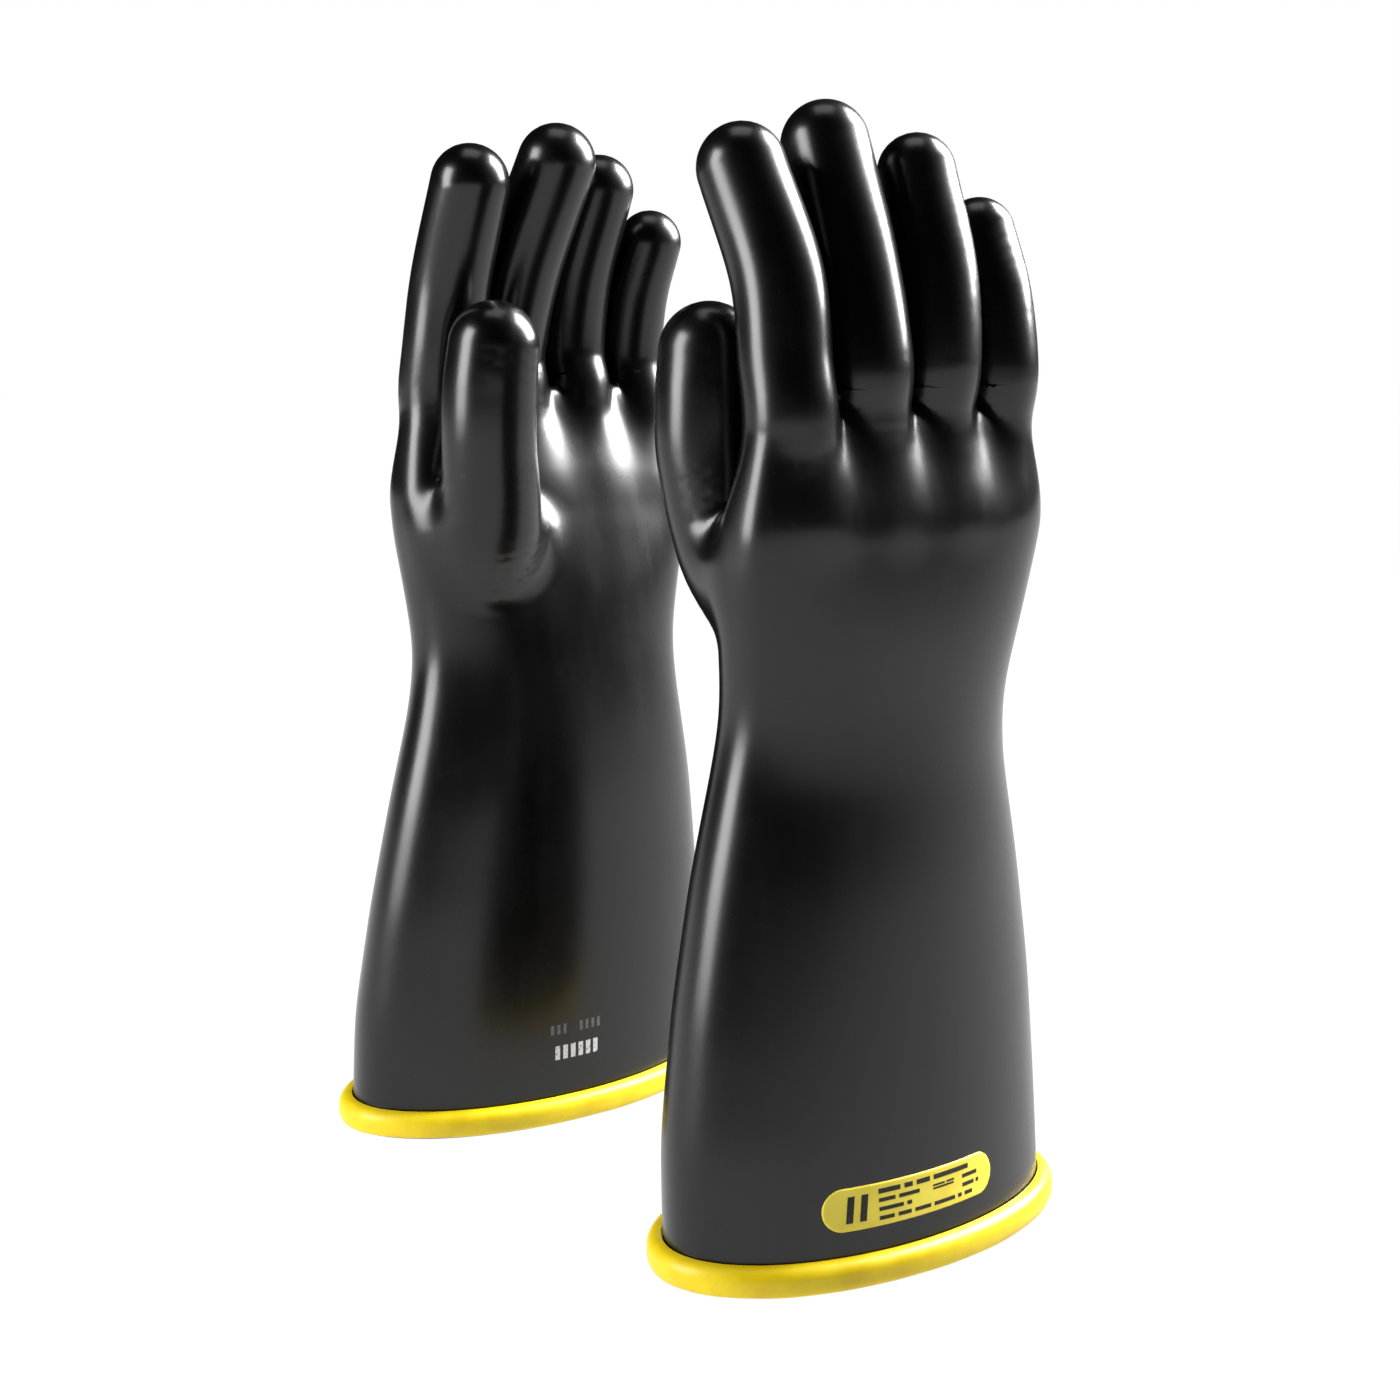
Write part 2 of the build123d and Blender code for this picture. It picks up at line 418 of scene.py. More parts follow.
def seams(digit):
    """(place, direction) of a digit's two seams."""
    base, middle = digit_joints(digit)
    along = unit(middle - base)
    if digit == "thumb":
        first = (base - THUMB_REACH * along, along)
    else:
        z = max(base[2] - BASE_REACH, WEB_Z + WEB_CLEARANCE)
        first = (np.array([base[0], base[1], z]), np.array([0.0, 0.0, 1.0]))
    share = 0.62 if digit == "thumb" else 0.5
    return first, (base + (middle - base) * share, along)


def nearest_digit(p):
    """Index in DIGITS of the digit line nearest each point, and the distance to it."""
    gaps = np.stack([line_distance(p, LINES[d]) for d in DIGITS], 1)
    return gaps.argmin(1), gaps.min(1)


def cut_mesh(points, faces):
    """The mesh with its faces split along every seam, as a bmesh."""
    mesh = bpy.data.meshes.new("cutting")
    mesh.from_pydata(points.tolist(), [], faces.tolist())
    bm = bmesh.new()
    bm.from_mesh(mesh)
    bpy.data.meshes.remove(mesh)
    for index, digit in enumerate(DIGITS):
        for place, direction in seams(digit):
            bm.faces.ensure_lookup_table()
            middles = np.array([f.calc_center_median() for f in bm.faces])
            height = (middles - place) @ direction
            near = np.abs(height) < 3 * GRID
            near &= np.linalg.norm(middles - place, axis=1) < 28.0
            picked = np.flatnonzero(near)
            owner, _ = nearest_digit(middles[picked])
            own = [bm.faces[i] for i in picked[owner == index]]
            geometry = set(own)
            for face in own:
                geometry.update(face.verts)
                geometry.update(face.edges)
            bmesh.ops.bisect_plane(
                bm, geom=list(geometry), dist=1e-4, plane_co=place, plane_no=direction
            )
    return bm


def face_piece(middles):
    """Which piece each face belongs to: 0 is the hand, then two for each digit."""
    piece = np.zeros(len(middles), int)
    owner, _ = nearest_digit(middles)
    for index, digit in enumerate(DIGITS):
        (place_1, up_1), (place_2, up_2) = seams(digit)
        beyond_1 = (middles - place_1) @ up_1 > 0
        beyond_2 = (middles - place_2) @ up_2 > 0
        if digit == "thumb":
            beyond_1 &= np.linalg.norm(middles - place_1, axis=1) < 80.0
        mine = owner == index
        piece[mine & beyond_1] = 1 + 2 * index
        piece[mine & beyond_1 & beyond_2] = 2 + 2 * index
    return piece


def skin_parts(grid, level):
    """For each piece, its (points, faces, normals) on one face of the rubber, in mm."""
    points, quads = make_skin(grid, level)
    bm = cut_mesh(points, quads)
    bm.verts.ensure_lookup_table()
    points = np.array([v.co for v in bm.verts])
    faces = [[v.index for v in f.verts] for f in bm.faces]
    middles = np.array([points[f].mean(0) for f in faces])
    bm.free()
    normals = unit(gradient(points))
    flip = level < 0
    piece = face_piece(middles)
    parts = []
    for number in range(1 + 2 * len(DIGITS)):
        chosen = [faces[i] for i in np.flatnonzero(piece == number)]
        used = np.unique(np.concatenate(chosen))
        renumber = {old: new for new, old in enumerate(used)}
        renumbered = [[renumber[v] for v in f] for f in chosen]
        if flip:
            renumbered = [f[::-1] for f in renumbered]
        parts.append((points[used], renumbered, normals[used] * (-1 if flip else 1)))
    return parts


def open_edges(faces):
    """Vertex numbers on the mesh's open edges."""
    seen = {}
    for face in faces:
        for a, b in zip(face, face[1:] + face[:1]):
            key = (min(a, b), max(a, b))
            seen[key] = seen.get(key, 0) + 1
    return np.unique([v for key, uses in seen.items() if uses == 1 for v in key])


def around(points, centre, direction):
    """Angles of points about an axis."""
    side = unit(np.cross(direction, [0.3, 1.0, 0.2]))
    other = np.cross(direction, side)
    v = points - centre
    return np.arctan2(v @ other, v @ side)


def stitch(loop_a, angles_a, loop_b, angles_b):
    """Triangles that join two rings, each given as vertex numbers and their angles."""
    order_a, order_b = np.argsort(angles_a), np.argsort(angles_b)
    a, b = loop_a[order_a], loop_b[order_b]
    ta = np.append(angles_a[order_a], angles_a[order_a][0] + 2 * np.pi)
    tb = np.append(angles_b[order_b], angles_b[order_b][0] + 2 * np.pi)
    a, b = np.append(a, a[0]), np.append(b, b[0])
    i = j = 0
    out = []
    while i < len(a) - 1 or j < len(b) - 1:
        if j == len(b) - 1 or (i < len(a) - 1 and ta[i + 1] <= tb[j + 1]):
            out.append([a[i], a[i + 1], b[j]])
            i += 1
        else:
            out.append([a[i], b[j + 1], b[j]])
            j += 1
    return out


# ---- Building the skin's objects ----
class Shell:
    """A closed mesh in the making: points in mm, faces, and a normal for every face corner."""

    def __init__(self):
        self.points, self.faces, self.corners = [], [], []
        self.count = 0

    def add_points(self, points):
        start = self.count
        self.points.append(np.asarray(points, float))
        self.count += len(points)
        return start

    def add_smooth(self, points, faces, normals):
        start = self.add_points(points)
        for face in faces:
            self.faces.append([v + start for v in face])
            self.corners.extend(normals[v] for v in face)
        return start

    def add_ring(self, triangles, direction):
        """Flat faces that look along direction."""
        points = np.vstack(self.points)
        for a, b, c in triangles:
            normal = np.cross(points[b] - points[a], points[c] - points[a])
            self.faces.append([a, b, c] if normal @ direction > 0 else [a, c, b])
            self.corners.extend([direction] * 3)

    def build(self, name, mirrored):
        """The object in the frame, in metres, for the right glove or mirrored for the left."""
        points = np.vstack(self.points) + np.array([0.0, GLOVE_Y, 0.0])
        corners = np.array(self.corners)
        faces = self.faces
        if mirrored:
            flip = np.array([1.0, -1.0, 1.0])
            points, corners = points * flip, corners * flip
            turned, start = [], 0
            order = np.arange(len(corners))
            for face in faces:
                turned.append(face[::-1])
                order[start:start + len(face)] = order[start:start + len(face)][::-1]
                start += len(face)
            faces, corners = turned, corners[order]
        mesh = bpy.data.meshes.new(name)
        mesh.from_pydata(to_metres(points).tolist(), [], faces)
        mesh.polygons.foreach_set("use_smooth", [True] * len(mesh.polygons))
        mesh.normals_split_custom_set([tuple(n) for n in corners])
        obj = bpy.data.objects.new(name, mesh)
        bpy.context.scene.collection.objects.link(obj)
        return obj


def seam_ring(points, faces, place, direction):
    """Vertex numbers and angles of the open edge that lies in a seam."""
    edge = open_edges(faces)
    v = points[edge] - place
    on_seam = (np.abs(v @ direction) < 0.05) & (np.linalg.norm(v, axis=1) < 28.0)
    ring = edge[on_seam]
    return ring, around(points[ring], place, direction)


def piece_seams(number):
    """(place, direction out of the piece) of each seam that bounds a piece."""
    if number == 0:
        return [seams(digit)[0] for digit in DIGITS]
    digit = DIGITS[(number - 1) // 2]
    (place_1, up_1), (place_2, up_2) = seams(digit)
    if number % 2:
        return [(place_1, -up_1), (place_2, up_2)]
    return [(place_2, -up_2)]


def skin_shells():
    """The closed shells of one glove's rubber, hand first, then two for each digit."""
    grid = grid_field()
    outer, inner = skin_parts(grid, 0.0), skin_parts(grid, -WALL)
    shells = []
    for number, (out_part, in_part) in enumerate(zip(outer, inner)):
        shell = Shell()
        shell.add_smooth(*out_part)
        start = shell.add_smooth(*in_part)
        for place, direction in piece_seams(number):
            ring_a, angles_a = seam_ring(out_part[0], out_part[1], place, direction)
            ring_b, angles_b = seam_ring(in_part[0], in_part[1], place, direction)
            shell.add_ring(stitch(ring_a, angles_a, ring_b + start, angles_b), direction)
        if number == 0:
            down = np.array([0.0, 0.0, -1.0])
            rims = []
            for points, faces, _ in (out_part, in_part):
                edge = open_edges(faces)
                edge = edge[points[edge, 2] < 0.01]
                rims.append((edge, around(points[edge], np.zeros(3), down)))
            (rim_a, angles_a), (rim_b, angles_b) = rims
            shell.add_ring(stitch(rim_a, angles_a, rim_b + start, angles_b), down)
        shells.append(shell)
    return shells


def place_in(side, point):
    """A point of the right glove's own frame, in mm, as a frame point in metres on that side."""
    x, y, z = point
    y += GLOVE_Y
    return Vector(to_metres((x, y if side == "right" else -y, z)))


def add_skin(side, shells, material):
    hand = shells[0].build(f"{side}_glove_hand", side == "left")
    hand.data.materials.append(material)
    reach = np.array([0.0, 0.0, WRIST_REACH])
    wrist = WRIST - np.array([0.0, GLOVE_Y, 0.0])
    place_in(side, wrist - reach)
    place_in(side, wrist + reach)
    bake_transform(hand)
    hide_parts(f"{side}_cuff", f"{side}_wrist_bend", f"{side}_palm")
    for index, digit in enumerate(DIGITS):
        base, middle = digit_joints(digit)
        tip = LINES[digit][-1, :3]
        (place_1, up_1), (place_2, up_2) = seams(digit)
        end_1 = base + BASE_BEND_REACH * unit(middle - base)
        end_2 = middle + MIDDLE_BEND_REACH * unit(tip - middle)
        ends = (
            ("lower", f"{side}_hand", f"{side}_{digit}_lower", place_1, up_1, end_1, "base"),
            ("tip", f"{side}_{digit}_lower", f"{side}_{digit}_tip", place_2, up_2, end_2, "middle"),
        )
        for step, (part, parent, child, place, up, end, bend) in enumerate(ends):
            shell = shells[1 + 2 * index + step]
            obj = shell.build(f"{side}_glove_{digit}_{part}", side == "left")
            obj.data.materials.append(material)
            reach = ((end - place) @ up) * up
            place_in(side, place)
            place_in(side, place + reach)
            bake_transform(obj)
            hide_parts(f"{side}_{digit}_{part}", f"{side}_{digit}_{bend}_bend")


# ---- Bead, coat, label and ink, wrapped round the cuff ----
ROUND_STEPS = 288         # points round the cuff
BEAD_SQUARENESS = 0.75    # 1 is a half round bead, and less is a squarer one
EMBED = 0.2               # how far bonded pieces reach into what they are bonded to
COAT_THICKNESS = 0.5
COAT_EDGE_WAVE = 0.25     # how unevenly the coat was dipped
COAT_LOW, COAT_HIGH = 0.25, 0.985  # where the coat starts and stops on the bead's face
INK_HEIGHT = 0.06
PALM_SIDE, BACK_SIDE = 1.0, -1.0


def cuff_wall(angle, z, out):
    """Points that stand out from the cuff's outer face, at angles round it from +x."""
    mx, my, hx, hy = body_sections(z)
    normal = unit(np.stack([np.cos(angle) / hx, np.sin(angle) / hy], -1))
    x = mx + hx * np.cos(angle) + out * normal[..., 0]
    y = my + hy * np.sin(angle) + out * normal[..., 1]
    return np.stack([x, y, z + 0.0 * x], -1)


def cuff_patch(x, z, out, facing):
    """Points over (x, z) on the palm side or the back of the cuff."""
    mx, _, hx, _ = body_sections(z)
    return cuff_wall(facing * np.arccos(np.clip((x - mx) / hx, -1, 1)), z, out)


def add_mesh(name, side, points, faces, material, replaced=()):
    """A closed piece on a cuff, from points in mm in the right glove's own frame."""
    points = np.asarray(points, float) + np.array([0.0, GLOVE_Y, 0.0])
    if side == "left":
        points = points * np.array([1.0, -1.0, 1.0])
    mesh = bpy.data.meshes.new(name)
    mesh.from_pydata(to_metres(points).tolist(), [], [list(map(int, f)) for f in faces])
    bm = bmesh.new()
    bm.from_mesh(mesh)
    bmesh.ops.remove_doubles(bm, verts=bm.verts, dist=1e-7)
    bmesh.ops.dissolve_degenerate(bm, edges=bm.edges, dist=1e-7)
    bmesh.ops.recalc_face_normals(bm, faces=bm.faces)
    bm.to_mesh(mesh)
    bm.free()
    mesh.shade_smooth()
    mesh.set_sharp_from_angle(angle=math.radians(50))
    mesh.materials.append(material)
    obj = bpy.data.objects.new(name, mesh)
    bpy.context.scene.collection.objects.link(obj)
    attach(obj, f"{side}_cuff")
    if replaced:
        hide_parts(*replaced)
    return obj


def swept_ring(profile):
    """Points and quads of a closed profile swept round the cuff. Each profile point is a pair
    of functions of the angle: how far out it lies, and its height."""
    angle = np.arange(ROUND_STEPS) * 2 * np.pi / ROUND_STEPS
    rows = [cuff_wall(angle, height(angle), out(angle)) for out, height in profile]
    points = np.stack(rows, 1).reshape(-1, 3)
    count = len(profile)
    faces = []
    for i in range(ROUND_STEPS):
        j = (i + 1) % ROUND_STEPS
        for k in range(count):
            m = (k + 1) % count
            faces.append([i * count + k, j * count + k, j * count + m, i * count + m])
    return points, faces


def constant(value):
    return lambda angle: value + 0.0 * angle


BEAD_TOP = box_mm("right_bead_core")[1][2]
BEAD_OUT = (box_mm("right_bead_core")[1][0] - box_mm("right_bead_core")[0][0]) / 2 - TABLE[2][10]


def bead_curve(t, grow):
    """(out, z) on the bead's rounded face, from its bottom at t = 0 to its top at t = 1."""
    lean = math.pi * (t - 0.5)
    half = BEAD_TOP / 2
    out = BEAD_OUT * math.cos(lean) ** BEAD_SQUARENESS
    z = half + half * math.copysign(abs(math.sin(lean)) ** BEAD_SQUARENESS, lean)
    return out + grow * math.cos(lean), z + grow * math.sin(lean)


def add_bead(side, rubber):
    steps = 20
    profile = [(constant(-EMBED), constant(BEAD_TOP)), (constant(-EMBED), constant(0.0))]
    for step in range(steps + 1):
        out, z = bead_curve(step / steps, 0.0)
        profile.append((constant(max(out, 0.0)), constant(z)))
    points, faces = swept_ring(profile)
    add_mesh(f"{side}_bead_roll", side, points, faces, rubber, [f"{side}_bead_core"])


def add_coat(side, yellow):
    """A thin skin over the bead, with a slightly uneven lower edge."""
    steps = 22

    def wave(angle):
        slow, fast = 0.5 * np.sin(3 * angle + 0.7), 0.3 * np.sin(7 * angle + 2.1)
        return slow + fast + 0.2 * np.sin(16 * angle)

    def row(step, grow):
        share = step / steps
        t = COAT_LOW + (COAT_HIGH - COAT_LOW) * share
        out, z = bead_curve(t, grow)
        slip = COAT_EDGE_WAVE * (1 - share) ** 4
        return (constant(out), lambda angle: z + slip * wave(angle))

    profile = [row(0, -EMBED)]
    profile += [row(step, COAT_THICKNESS * min(1.0, 0.35 + 0.5 * step)) for step in range(steps + 1)]
    profile += [row(step, -EMBED) for step in range(steps, 0, -1)]
    points, faces = swept_ring(profile)
    add_mesh(f"{side}_coat", side, points, faces, yellow, [f"{side}_bead_coat"])


LABEL_LOW, LABEL_HIGH = box_mm("right_label")
LABEL_X, LABEL_Z = (LABEL_LOW[0] + LABEL_HIGH[0]) / 2, (LABEL_LOW[2] + LABEL_HIGH[2]) / 2
LABEL_HALF, LABEL_R = (LABEL_HIGH[0] - LABEL_LOW[0]) / 2, (LABEL_HIGH[2] - LABEL_LOW[2]) / 2
LABEL_THICKNESS = 0.55
LABEL_EDGE = 0.5          # radius of the label's rounded edge


def stadium(inset, steps=40):
    """The label's outline, drawn in by inset: half circles joined by straight runs."""
    reach, r = LABEL_HALF - LABEL_R, LABEL_R - inset
    turn = np.linspace(-np.pi / 2, np.pi / 2, steps)
    run = np.linspace(0, 1, steps)[1:-1, None]
    right = np.stack([reach + r * np.cos(turn), r * np.sin(turn)], 1)
    left = -right
    top = right[-1] + (left[0] - right[-1]) * run
    bottom = left[-1] + (right[0] - left[-1]) * run
    return np.vstack([right, top, left, bottom])


def add_label(side, material):
    """The label, from the middle of its hidden face, round its edge, to the middle of its top."""
    layers = [(inset, -EMBED) for inset in (LABEL_R, 4.4, 0.0)]
    for inset in (0.0, 0.06, 0.18, 0.34, LABEL_EDGE, 1.2, 2.6, 4.4, LABEL_R):
        rise = math.sqrt(max(0.0, 1 - max(0.0, 1 - inset / LABEL_EDGE) ** 2))
        layers.append((inset, LABEL_THICKNESS * rise))
    rings = []
    for inset, out in layers:
        x, z = (stadium(inset) + np.array([LABEL_X, LABEL_Z])).T
        rings.append(cuff_patch(x, z, out, BACK_SIDE))
    count = len(rings[0])
    faces = []
    for row in range(len(rings) - 1):
        a, b = row * count, (row + 1) * count
        for i in range(count):
            j = (i + 1) % count
            faces.append([a + i, a + j, b + j, b + i])
    points = np.vstack(rings)
    add_mesh(f"{side}_cuff_label", side, points, faces, material, [f"{side}_label"])


def ink_bars(bars, base, facing):
    """Thin raised bars on the cuff. Each bar is (middle x, middle z, width, height, slant)."""
    points, faces = [], []
    across = 5
    for x, z, width, height, slant in bars:
        start = len(points)
        for out in (base - EMBED, base + INK_HEIGHT):
            for rise in (-0.5, 0.5):
                for step in range(across + 1):
                    u = x + width * (step / across - 0.5) + slant * height * rise
                    point = cuff_patch(np.array([u]), np.array([z + height * rise]), out, facing)
                    points.append(point[0])
        row = across + 1
        low_near, low_far = start, start + row
        top_near, top_far = start + 2 * row, start + 3 * row
        for k in range(across):
            faces.append([low_near + k, low_near + k + 1, low_far + k + 1, low_far + k])
            faces.append([top_near + k, top_near + k + 1, top_far + k + 1, top_far + k])
            faces.append([low_near + k, low_near + k + 1, top_near + k + 1, top_near + k])
            faces.append([low_far + k, low_far + k + 1, top_far + k + 1, top_far + k])
        for k in (0, across):
            faces.append([low_near + k, low_far + k, top_far + k, top_near + k])
    return points, faces


def word_row(start, z, height, widths, gap):
    """Bars side by side, like a line of print that says nothing."""
    bars, x = [], start
    for width in widths:
        bars.append((x + width / 2, z, width, height, 0.0))
        x += width + gap
    return bars


# The label's two bold bars, from its left end.
BOLD_START, BOLD_STEP, BOLD_WIDTH, BOLD_HEIGHT, BOLD_SLANT = 8.8, 4.6, 2.3, 8.2, 0.12
TEXT_START = 18.6         # where its lines of thin bars begin
# Each line is (start, height above the label's middle, bar height, bar widths, gap).
LABEL_LINES = (
    (0.0, 4.2, 1.5, (8.0, 3.2, 5.4, 15.5), 1.6),
    (0.0, 1.4, 1.2, (6.0, 8.0), 1.4),
    (21.0, 1.6, 0.6, (5.0, 3.4), 0.8),
    (21.0, 0.6, 0.6, (9.0,), 0.8),
    (34.0, 1.4, 1.2, (7.0,), 1.4),
    (0.0, -1.4, 1.2, (9.0, 1.8), 1.4),
    (34.0, -1.4, 1.2, (5.4, 1.2), 1.2),
    (0.0, -4.2, 1.2, (5.4, 5.0, 6.4, 9.0, 1.6, 3.6), 1.5),
)


def add_label_marks(side, ink):
    """Two bold bars at the label's left, and four lines of thin ones. The left glove is a mirror
    image, so its marks are turned round to run the same way as the right one's."""
    left = LABEL_X - LABEL_HALF
    bars = []
    for k in (0, 1):
        x = left + BOLD_START + BOLD_STEP * k
        bars.append((x, LABEL_Z, BOLD_WIDTH, BOLD_HEIGHT, BOLD_SLANT))
    for start, rise, height, widths, gap in LABEL_LINES:
        bars += word_row(left + TEXT_START + start, LABEL_Z + rise, height, widths, gap)
    if side == "left":
        bars = [(2 * LABEL_X - x, z, width, height, -slant) for x, z, width, height, slant in bars]
    points, faces = ink_bars(bars, LABEL_THICKNESS, BACK_SIDE)
    add_mesh(f"{side}_label_marks", side, points, faces, ink)


# Rows of dashes on the palm side: (first x of each group, count, step, z, width, height).
BOLD_STAMP = ((-16.25, 6, 3.3, 26.2, 2.0, 5.2),)
FAINT_STAMP = ((-18.4, 3, 2.6, 35.0, 1.3, 3.6), (-6.2, 4, 2.6, 35.0, 1.3, 3.6))


def add_stamps(side, bold, faint):
    """Two rows of plain upright dashes on the palm side of the cuff."""
    for name, groups, ink in (("bold", BOLD_STAMP, bold), ("faint", FAINT_STAMP, faint)):
        bars = []
        for first, count, step, z, width, height in groups:
            bars += [(first + step * k, z, width, height, 0.0) for k in range(count)]
        points, faces = ink_bars(bars, 0.0, PALM_SIDE)
        add_mesh(f"{side}_stamp_{name}", side, points, faces, ink)


# ---- Materials ----
class Paint:
    """A material with a Principled shader, and short calls that add its detail."""

    def __init__(self, name, color, roughness, specular=0.5):
        self.material = bpy.data.materials.new(name)
        self.material.use_nodes = True
        self.nodes, self.links = self.material.node_tree.nodes, self.material.node_tree.links
        self.shader = self.nodes["Principled BSDF"]
        self.shader.inputs["Base Color"].default_value = (*color, 1.0)
        self.shader.inputs["Roughness"].default_value = roughness
        self.shader.inputs["Specular IOR Level"].default_value = specular
        self.place = self.nodes.new("ShaderNodeTexCoord").outputs["Object"]
        self.normal = None

    def stretched(self, scale):
        """The object's own place, stretched, for streaks."""
        node = self.nodes.new("ShaderNodeMapping")
        node.inputs["Scale"].default_value = scale
        self.links.new(self.place, node.inputs["Vector"])
        return node.outputs["Vector"]

    def noise(self, scale, detail=3.0, roughness=0.55, vector=None):
        node = self.nodes.new("ShaderNodeTexNoise")
        node.inputs["Scale"].default_value = scale
        node.inputs["Detail"].default_value = detail
        node.inputs["Roughness"].default_value = roughness
        self.links.new(vector or self.place, node.inputs["Vector"])
        return node.outputs["Fac"]

    def spots(self, scale, size):
        """1 in small round spots scattered over the surface, and 0 between them."""
        node = self.nodes.new("ShaderNodeTexVoronoi")
        node.inputs["Scale"].default_value = scale
        self.links.new(self.place, node.inputs["Vector"])
        return self.ranged(node.outputs["Distance"], size * 0.6, size, 1.0, 0.0)

    def ranged(self, value, low, high, to_low, to_high):
        node = self.nodes.new("ShaderNodeMapRange")
        node.interpolation_type = "SMOOTHSTEP"
        names = ("From Min", "From Max", "To Min", "To Max")
        for name, number in zip(names, (low, high, to_low, to_high)):
            node.inputs[name].default_value = number
        self.links.new(value, node.inputs["Value"])
        return node.outputs["Result"]

    def math(self, operation, a, b):
        node = self.nodes.new("ShaderNodeMath")
        node.operation = operation
        for socket, value in zip(node.inputs, (a, b)):
            if isinstance(value, float):
                socket.default_value = value
            else:
                self.links.new(value, socket)
        return node.outputs["Value"]

    def mixed(self, factor, a, b):
        """A colour between a and b. Each is a colour or another node's output."""
        node = self.nodes.new("ShaderNodeMix")
        node.data_type = "RGBA"
        self.links.new(factor, node.inputs["Factor"])
        for socket, value in ((node.inputs[6], a), (node.inputs[7], b)):
            if isinstance(value, tuple):
                socket.default_value = (*value, 1.0)
            else:
                self.links.new(value, socket)
        return node.outputs[2]

    def bump(self, height, distance, strength=1.0):
        node = self.nodes.new("ShaderNodeBump")
        node.inputs["Distance"].default_value = distance
        node.inputs["Strength"].default_value = strength
        self.links.new(height, node.inputs["Height"])
        if self.normal:
            self.links.new(self.normal, node.inputs["Normal"])
        self.normal = node.outputs["Normal"]
        self.links.new(self.normal, self.shader.inputs["Normal"])

    def use(self, color=None, roughness=None):
        if color:
            self.links.new(color, self.shader.inputs["Base Color"])
        if roughness:
            self.links.new(roughness, self.shader.inputs["Roughness"])


def rubber_material():
    """Black dipped rubber: satin, with a faint bloom, drip streaks, fine grain and a little dust."""
    paint = Paint("black_rubber", (0.0012, 0.0012, 0.0013), 0.27, 0.5)
    cloud = paint.noise(22.0, 4.0)
    streak = paint.noise(90.0, 3.0, vector=paint.stretched((1.0, 1.0, 0.06)))
    bloom = paint.math("MULTIPLY", paint.ranged(cloud, 0.35, 0.75, 0.0, 1.0), streak)
    color = paint.mixed(bloom, (0.0006, 0.0006, 0.0007), (0.0022, 0.0022, 0.0025))
    dust = paint.spots(420.0, 0.055)
    color = paint.mixed(dust, color, (0.05, 0.05, 0.05))
    rough = paint.ranged(cloud, 0.3, 0.7, 0.24, 0.29)
    rough = paint.math("ADD", rough, paint.ranged(streak, 0.35, 0.75, -0.015, 0.02))
    paint.use(color, rough)
    paint.bump(paint.noise(260.0, 2.0), 0.00002, 0.4)
    paint.bump(paint.noise(2600.0, 2.0), 0.000008, 0.5)
    return paint.material


def yellow_material():
    """Yellow coat: dipped colour, a little thin and uneven, with fine pores."""
    paint = Paint("yellow_coat", (0.83, 0.60, 0.004), 0.42, 0.4)
    cloud = paint.noise(60.0, 4.0)
    grain = paint.noise(900.0, 3.0)
    patches = paint.ranged(cloud, 0.3, 0.7, 0.0, 1.0)
    color = paint.mixed(patches, (0.78, 0.55, 0.004), (0.90, 0.68, 0.006))
    color = paint.mixed(paint.ranged(grain, 0.62, 0.75, 0.0, 0.35), color, (0.55, 0.36, 0.003))
    paint.use(color, paint.ranged(cloud, 0.3, 0.7, 0.36, 0.48))
    paint.bump(paint.noise(180.0, 3.0), 0.0002, 0.35)
    paint.bump(grain, 0.00003, 0.5)
    return paint.material


def label_material():
    """Printed label: flat golden yellow with a fine print grain and slightly worn patches."""
    paint = Paint("label_film", (0.92, 0.76, 0.06), 0.38, 0.4)
    cloud = paint.noise(110.0, 4.0)
    patches = paint.ranged(cloud, 0.3, 0.7, 0.0, 1.0)
    color = paint.mixed(patches, (0.88, 0.70, 0.05), (0.97, 0.82, 0.08))
    paint.use(color, paint.ranged(cloud, 0.3, 0.7, 0.33, 0.45))
    paint.bump(paint.noise(1500.0, 2.0), 0.00001, 0.5)
    return paint.material


def ink_material(name, color, worn):
    """Stamped ink, broken up where it took badly."""
    paint = Paint(name, color, 0.55, 0.3)
    patches = paint.ranged(paint.noise(1300.0, 3.0), 0.56, 0.68, 0.0, 1.0)
    paint.use(paint.mixed(patches, color, worn))
    return paint.material


# ---- Floor, light and camera, in metres ----
FLOOR_SIZE = 12.0
FLOOR_GLOW = 1.0          # the floor's own light, so that it is as pale as the room
ROOM_LIGHT = 0.012        # how bright the room is to the gloves
LIT_PLACE = (0.0, 0.0, 0.26)
# Each soft box is (name, place, (width, height), watts).
SOFT_BOXES = (
    ("right_box", (1.20, -0.22, 1.00), (0.75, 1.0), 100.0),
    ("left_box", (-1.15, 0.40, 0.62), (0.55, 0.95), 22.0),
    ("top_box", (0.1, 0.1, 1.6), (0.7, 0.7), 2.5),
)


def add_stage():
    bpy.ops.mesh.primitive_plane_add(size=FLOOR_SIZE)
    floor = bpy.context.object
    floor.name = "floor"
    paint = Paint("floor_paper", (0.03, 0.03, 0.03), 0.9, 0.0)
    paint.bump(paint.noise(500.0, 3.0), 0.00005, 0.3)
    paint.shader.inputs["Emission Color"].default_value = (1.0, 1.0, 1.0, 1.0)
    paint.shader.inputs["Emission Strength"].default_value = FLOOR_GLOW
    floor.data.materials.append(paint.material)


def add_light(name, place, target, size, power):
    data = bpy.data.lights.new(name, "AREA")
    data.shape = "RECTANGLE"
    data.size, data.size_y = size
    data.energy = power
    light = bpy.data.objects.new(name, data)
    light.location = place
    light.rotation_euler = (Vector(target) - Vector(place)).to_track_quat("-Z", "Y").to_euler()
    bpy.context.scene.collection.objects.link(light)


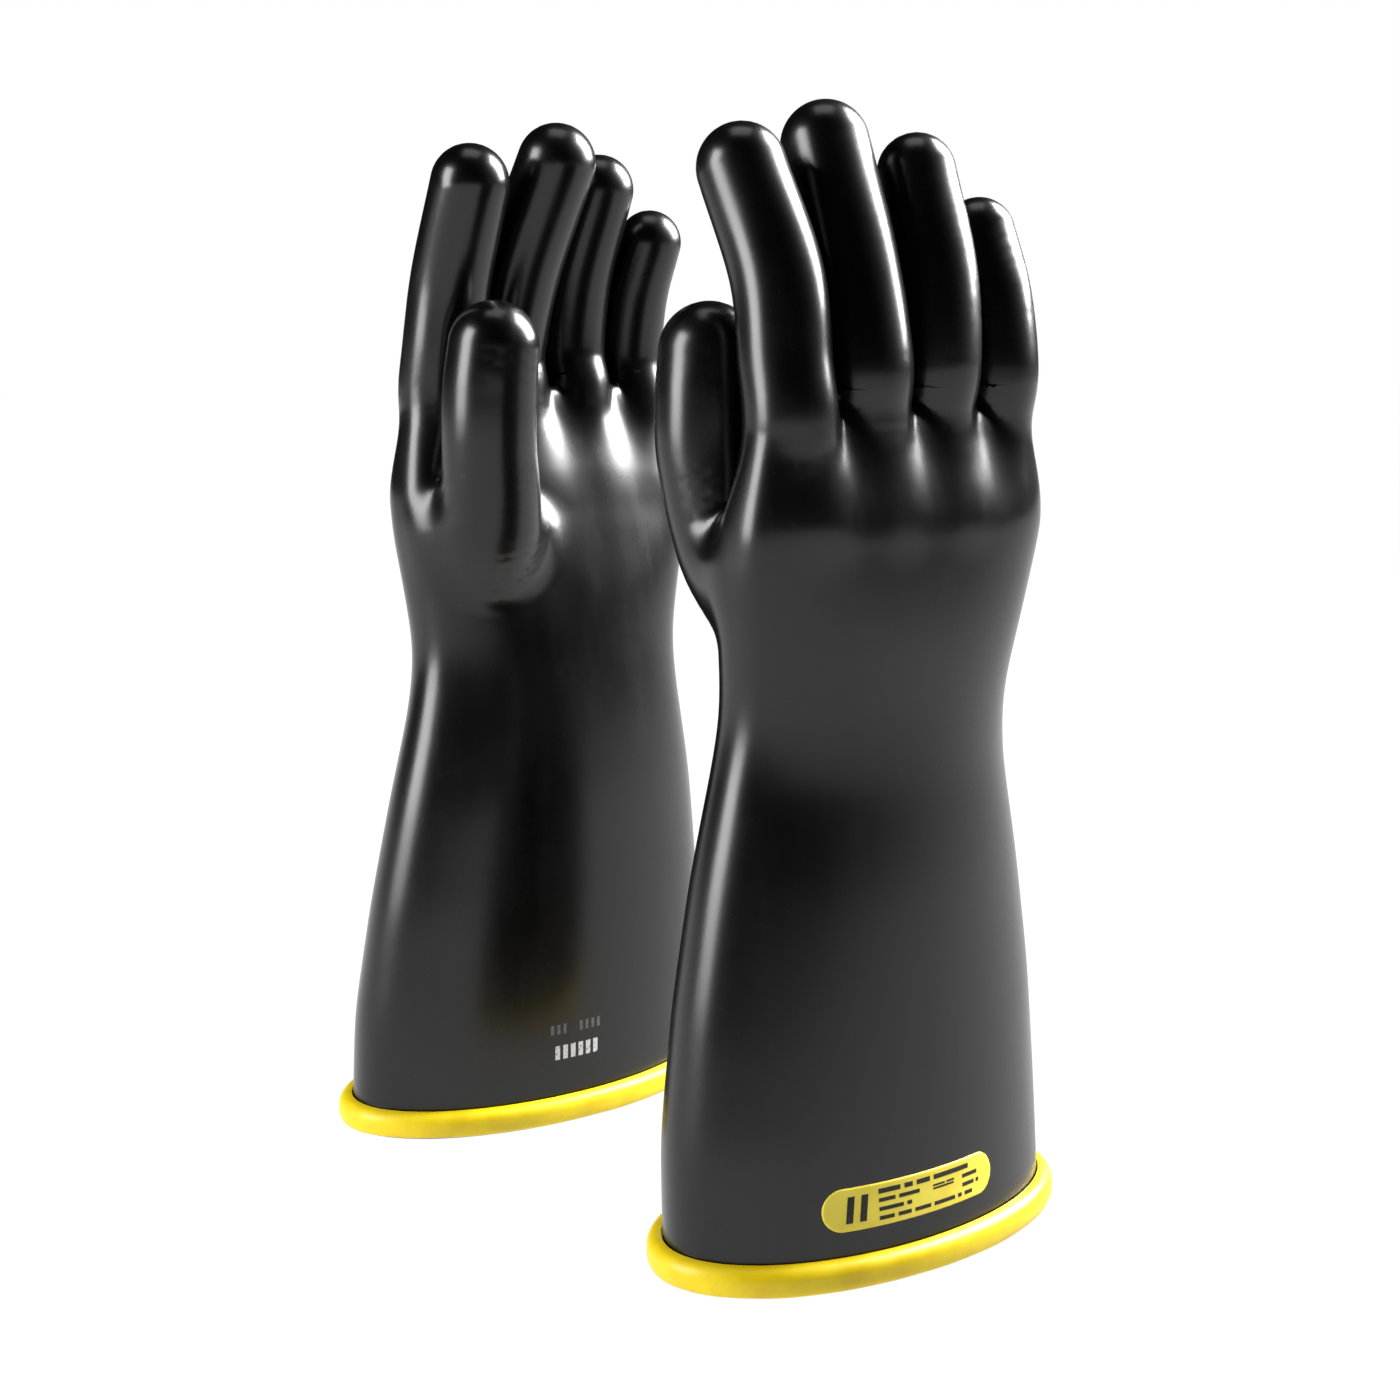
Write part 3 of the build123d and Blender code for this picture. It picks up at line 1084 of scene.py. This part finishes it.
CAMERA_PLACE = Vector((-0.5141, -0.6172, 0.2988))
CAMERA_TURN = 40.3        # degrees from straight along +Y towards +X
CAMERA_DIP = 9.73         # degrees below the horizon
CAMERA_LENS = 61.2


def add_camera():
    data = bpy.data.cameras.new("camera")
    data.lens, data.sensor_width = CAMERA_LENS, 36.0
    camera = bpy.data.objects.new("camera", data)
    camera.location = CAMERA_PLACE
    turn, dip = math.radians(CAMERA_TURN), math.radians(CAMERA_DIP)
    look = Vector((math.sin(turn) * math.cos(dip), math.cos(turn) * math.cos(dip), -math.sin(dip)))
    camera.rotation_euler = look.to_track_quat("-Z", "Y").to_euler()
    bpy.context.scene.collection.objects.link(camera)
    bpy.context.scene.camera = camera


def add_lights():
    """A bright soft box at the right, a dimmer one at the left, and a faint one above."""
    for name, place, size, power in SOFT_BOXES:
        add_light(name, place, LIT_PLACE, size, power)
    add_room()


def add_room():
    """A room that is dim where it lights the gloves, and white where the camera sees it."""
    world = bpy.data.worlds.new("room")
    world.use_nodes = True
    nodes, links = world.node_tree.nodes, world.node_tree.links
    background = nodes["Background"]
    background.inputs["Color"].default_value = (1.0, 1.0, 1.0, 1.0)
    seen = nodes.new("ShaderNodeMapRange")
    seen.inputs["To Min"].default_value = ROOM_LIGHT
    seen.inputs["To Max"].default_value = 1.0
    links.new(nodes.new("ShaderNodeLightPath").outputs["Is Camera Ray"], seen.inputs["Value"])
    links.new(seen.outputs["Result"], background.inputs["Strength"])
    bpy.context.scene.world = world


# ---- Scene ----
rubber, yellow, label_film = rubber_material(), yellow_material(), label_material()
black_ink = ink_material("black_ink", (0.02, 0.018, 0.015), (0.06, 0.05, 0.02))
white_ink = ink_material("white_ink", (0.62, 0.62, 0.62), (0.10, 0.10, 0.10))
grey_ink = ink_material("grey_ink", (0.12, 0.12, 0.12), (0.02, 0.02, 0.02))
SHELLS = skin_shells()
for side in ("right", "left"):
    add_skin(side, SHELLS, rubber)
    add_bead(side, rubber)
    add_coat(side, yellow)
    add_label(side, label_film)
    add_label_marks(side, black_ink)
    add_stamps(side, white_ink, grey_ink)
bpy.context.scene.view_settings.view_transform = "Standard"
add_stage()
add_lights()
add_camera()
